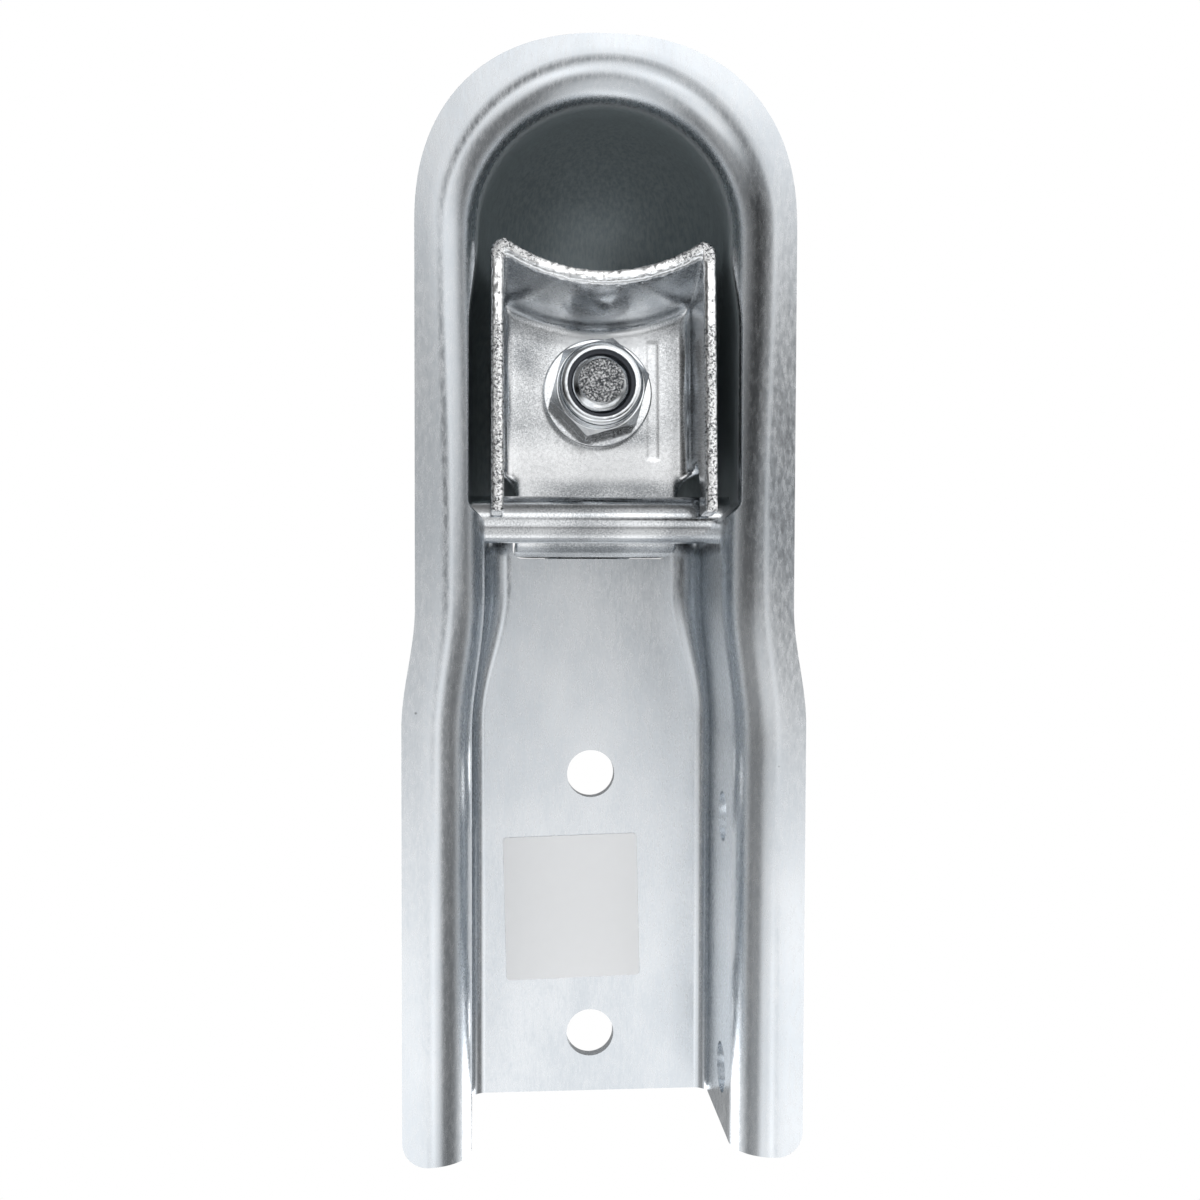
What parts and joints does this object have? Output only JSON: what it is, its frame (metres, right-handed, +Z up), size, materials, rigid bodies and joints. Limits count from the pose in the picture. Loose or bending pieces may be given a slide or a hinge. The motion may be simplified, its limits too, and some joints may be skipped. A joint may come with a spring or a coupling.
{
  "type": "trailer coupling head",
  "caption": "Straight trailer coupling head: ball socket with a swinging underjaw clamp, cam lever on an eye bolt, and a flanged channel that bolts to the tongue.",
  "frame": {"origin": "centre of the tow ball that the socket seats on", "axes": "+Z up in use, away from the flange's open side; -Y towards the nose and +Y back along the tongue channel; +X to the right seen from below with the nose up"},
  "size_m": [0.078, 0.2164, 0.0697],
  "materials": {
    "body_zinc": "satin zinc plate",
    "bright_zinc": "bright zinc plate",
    "nylon": "matt nylon",
    "sticker": "white vinyl film"
  },
  "bodies": {
    "shell": {"coupler_body": "body_zinc", "cross_pin": "bright_zinc", "release_spring": "bright_zinc", "blank_sticker": "sticker"},
    "bolt": {"eye_bolt": "bright_zinc", "lock_nut": "bright_zinc", "nut_insert": "nylon", "flat_washer": "bright_zinc", "lever_pin": "bright_zinc"},
    "clamp": {"ball_clamp": "bright_zinc"},
    "lever": {"latch_lever": "bright_zinc"}
  },
  "joints": [
    {"name": "bolt_slide", "type": "slide", "parent": "shell", "child": "bolt", "axis": [0, -0.0958, -0.9954], "range_m": [0, 0.00804], "deforming": ["release_spring"]},
    {"name": "lever_swing", "type": "hinge", "parent": "bolt", "child": "lever", "pos_m": [0, 0.03227, 0.0439], "axis": [1, 0, 0], "range_deg": [0, 75]},
    {"name": "clamp_swing", "type": "hinge", "parent": "shell", "child": "clamp", "pos_m": [0, 0.055, 0.0035], "axis": [1, 0, 0], "range_deg": [0, 12.05]}
  ],
  "couplings": [
    {"joint": "bolt_slide", "follows": "lever_swing", "m_per_rad": 0.0061398},
    {"joint": "clamp_swing", "follows": "lever_swing", "ratio": 0.16052}
  ]
}
